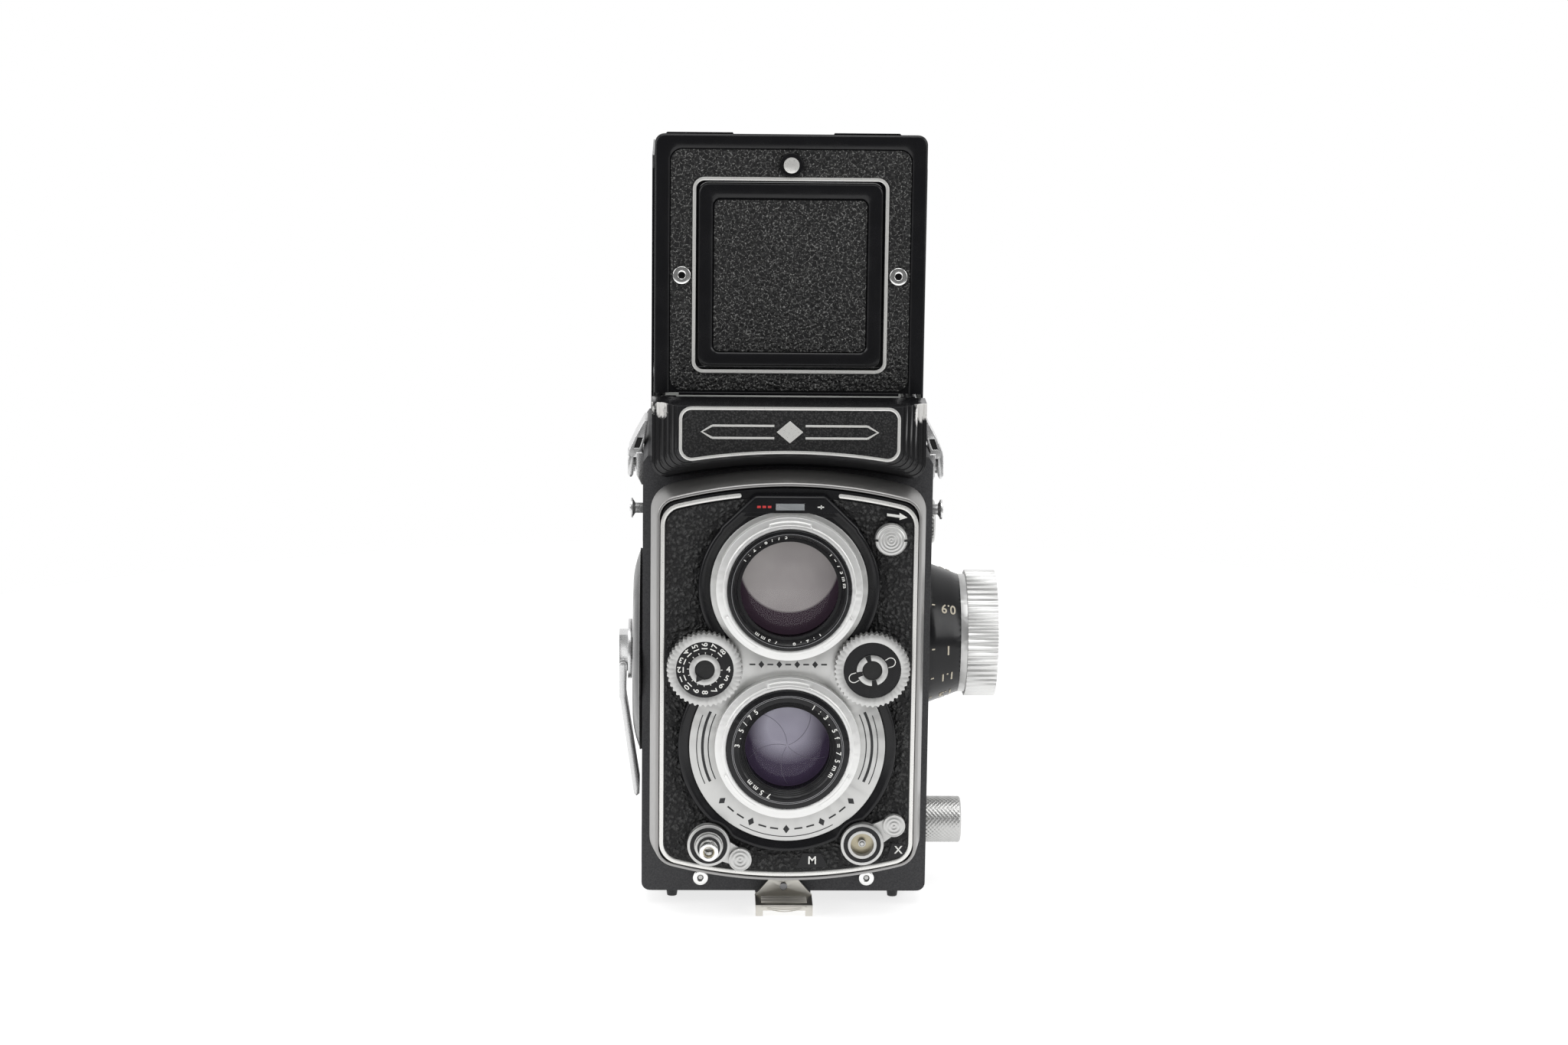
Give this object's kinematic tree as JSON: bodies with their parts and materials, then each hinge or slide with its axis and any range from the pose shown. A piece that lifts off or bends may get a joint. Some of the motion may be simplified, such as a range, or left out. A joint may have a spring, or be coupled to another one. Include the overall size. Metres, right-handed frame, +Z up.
{
  "type": "twin lens reflex camera",
  "caption": "Medium-format twin lens reflex camera with open folding hood, sliding lens board, crank wind, focusing knob and hinged back.",
  "frame": {"origin": "centre of the tripod socket's mouth, in the plane of the four feet", "axes": "+Z up along the body's height, lenses face -Y, +X is the focusing-knob side"},
  "size_m": [0.1006, 0.1007, 0.2043],
  "materials": {
    "black_paint": "gloss black enamel",
    "crackle_paint": "matt crackle black enamel",
    "leather": "pebbled black leather",
    "chrome": "polished chrome",
    "satin_chrome": "satin chrome",
    "brushed": "brushed metal rim",
    "steel": "plain steel",
    "alloy": "black anodised alloy",
    "casting": "cast alloy with matt crackle black paint",
    "glass": "coated optical glass",
    "screen": "ground focusing screen",
    "mirror": "front surface mirror",
    "spool_metal": "black lacquered steel"
  },
  "bodies": {
    "body": {"body_casting": "casting", "body_leather": "leather", "dark_chamber": "alloy", "reflex_mirror": "mirror", "nameplate_casting": "black_paint", "nameplate_trim": "chrome", "nameplate_panel": "leather", "hood_base": "black_paint", "ground_glass": "screen", "front_studs": "chrome", "strap_lug_left": "chrome", "strap_lug_right": "chrome", "crank_plate": "black_paint", "case_stud_left": "chrome", "case_stud_right": "chrome"},
    "lid": {"hood_lid": "black_paint", "hood_lid_leather": "leather", "finder_frame_trim": "chrome", "hood_eyelets": "chrome"},
    "magnifier_button": {"magnifier_button": "chrome"},
    "flap": {"finder_flap": "black_paint", "finder_flap_leather": "leather"},
    "magnifier": {"magnifier_arm": "steel", "magnifier_lens": "glass"},
    "hood_left": {"hood_side_left": "black_paint"},
    "hood_right": {"hood_side_right": "black_paint"},
    "hood_rear": {"hood_rear_panel": "black_paint"},
    "standard": {"standard_casting": "brushed", "board_leather": "leather", "board_trim": "chrome", "lens_surround": "black_paint", "escutcheon": "satin_chrome", "indicator_window": "glass", "view_bayonet": "satin_chrome", "taking_bayonet": "satin_chrome", "view_barrel": "alloy", "view_glass": "glass", "taking_barrel": "alloy", "taking_glass": "glass", "shutter_housing": "alloy", "shutter_blades": "steel", "release_socket": "satin_chrome", "flash_socket": "satin_chrome"},
    "aperture_wheel": {"aperture_wheel": "satin_chrome"},
    "speed_wheel": {"speed_wheel": "satin_chrome"},
    "release_button": {"release_button": "chrome"},
    "release_lock": {"release_lock": "satin_chrome"},
    "sync_lever": {"sync_lever": "satin_chrome"},
    "self_timer": {"self_timer_knob": "satin_chrome"},
    "focus": {"focus_dial": "black_paint", "focus_knob": "satin_chrome"},
    "crank": {"crank_hub": "satin_chrome"},
    "crank_arm": {"crank_arm": "satin_chrome"},
    "film_knob_upper": {"film_knob_upper": "satin_chrome"},
    "film_knob_lower": {"film_knob_lower": "satin_chrome"},
    "supply_spool": {"supply_spool": "spool_metal"},
    "takeup_spool": {"takeup_spool": "spool_metal"},
    "door": {"back_door": "casting", "tripod_plate": "satin_chrome"},
    "pressure_plate": {"pressure_plate": "alloy"},
    "latch": {"back_latch": "satin_chrome"}
  },
  "joints": [
    {"name": "lid_fold", "type": "hinge", "parent": "body", "child": "lid", "pos_m": [0, -0.0248, 0.1371], "axis": [-1, 0, 0], "range_deg": [0, 90]},
    {"name": "flap_swing", "type": "hinge", "parent": "lid", "child": "flap", "pos_m": [0, -0.0244, 0.1442], "axis": [1, 0, 0], "range_deg": [-45, 0]},
    {"name": "magnifier_swing", "type": "hinge", "parent": "flap", "child": "magnifier", "pos_m": [0, -0.0226, 0.1895], "axis": [-1, 0, 0], "range_deg": [-90, 0]},
    {"name": "magnifier_button_press", "type": "slide", "parent": "lid", "child": "magnifier_button", "axis": [0, 1, 0], "range_m": [0, 0.0008], "stiffness_N_per_m": 300},
    {"name": "hood_left_fold", "type": "hinge", "parent": "body", "child": "hood_left", "pos_m": [-0.0354, 0, 0.1306], "axis": [0, 1, 0], "range_deg": [0, 90]},
    {"name": "hood_right_fold", "type": "hinge", "parent": "body", "child": "hood_right", "pos_m": [0.0354, 0, 0.1313], "axis": [0, -1, 0], "range_deg": [0, 90]},
    {"name": "hood_rear_fold", "type": "hinge", "parent": "body", "child": "hood_rear", "pos_m": [0, 0.0442, 0.132], "axis": [1, 0, 0], "range_deg": [0, 90]},
    {"name": "standard_slide", "type": "slide", "parent": "body", "child": "standard", "axis": [0, -1, 0], "range_m": [-0.006, 0.0008]},
    {"name": "focus_turn", "type": "hinge", "parent": "body", "child": "focus", "pos_m": [0, -0.004, 0.0684], "axis": [1, 0, 0], "range_deg": [-266, 36]},
    {"name": "aperture_turn", "type": "hinge", "parent": "standard", "child": "aperture_wheel", "pos_m": [-0.02145, -0.05, 0.0701], "axis": [0, -1, 0], "range_deg": [-60, 90]},
    {"name": "speed_turn", "type": "hinge", "parent": "standard", "child": "speed_wheel", "pos_m": [0.02145, -0.05, 0.0701], "axis": [0, -1, 0], "range_deg": [-120, 120]},
    {"name": "release_press", "type": "slide", "parent": "standard", "child": "release_button", "axis": [0, 1, 0], "range_m": [0, 0.0025], "stiffness_N_per_m": 300},
    {"name": "release_lock_turn", "type": "hinge", "parent": "standard", "child": "release_lock", "pos_m": [-0.0201, -0.048, 0.0226], "axis": [0, -1, 0], "range_deg": [-35, 0]},
    {"name": "sync_lever_turn", "type": "hinge", "parent": "standard", "child": "sync_lever", "pos_m": [0.0197, -0.048, 0.023], "axis": [0, -1, 0], "range_deg": [-60, 0]},
    {"name": "self_timer_turn", "type": "hinge", "parent": "standard", "child": "self_timer", "pos_m": [0.0258, -0.049, 0.1039], "axis": [0, -1, 0], "range_deg": [0, 120]},
    {"name": "crank_turn", "type": "hinge", "parent": "body", "child": "crank", "pos_m": [-0.038, -0.004, 0.0636], "axis": [1, 0, 0], "continuous": true},
    {"name": "crank_arm_fold", "type": "hinge", "parent": "crank", "child": "crank_arm", "pos_m": [-0.0429, -0.004, 0.06], "axis": [0, 1, 0], "range_deg": [0, 120]},
    {"name": "takeup_spin", "type": "hinge", "parent": "body", "child": "takeup_spool", "pos_m": [0, 0.024, 0.093], "axis": [1, 0, 0], "continuous": true},
    {"name": "supply_spin", "type": "hinge", "parent": "body", "child": "supply_spool", "pos_m": [0, -0.015, 0.0195], "axis": [1, 0, 0], "continuous": true},
    {"name": "film_knob_upper_pull", "type": "slide", "parent": "body", "child": "film_knob_upper", "axis": [1, 0, 0], "range_m": [0, 0.005], "stiffness_N_per_m": 200},
    {"name": "film_knob_lower_pull", "type": "slide", "parent": "body", "child": "film_knob_lower", "axis": [1, 0, 0], "range_m": [0, 0.005], "stiffness_N_per_m": 200},
    {"name": "door_swing", "type": "hinge", "parent": "body", "child": "door", "pos_m": [0, 0.0438, 0.1178], "axis": [1, 0, 0], "range_deg": [0, 100]},
    {"name": "pressure_plate_slide", "type": "slide", "parent": "door", "child": "pressure_plate", "axis": [0, 1, 0], "range_m": [0, 0.001], "stiffness_N_per_m": 300},
    {"name": "latch_turn", "type": "hinge", "parent": "door", "child": "latch", "pos_m": [0, -0.0263, 0.0024], "axis": [1, 0, 0], "range_deg": [0, 12]}
  ],
  "couplings": [
    {"joint": "focus_turn", "follows": "standard_slide", "rad_per_m": 771},
    {"joint": "takeup_spin", "follows": "crank_turn", "ratio": 1}
  ]
}
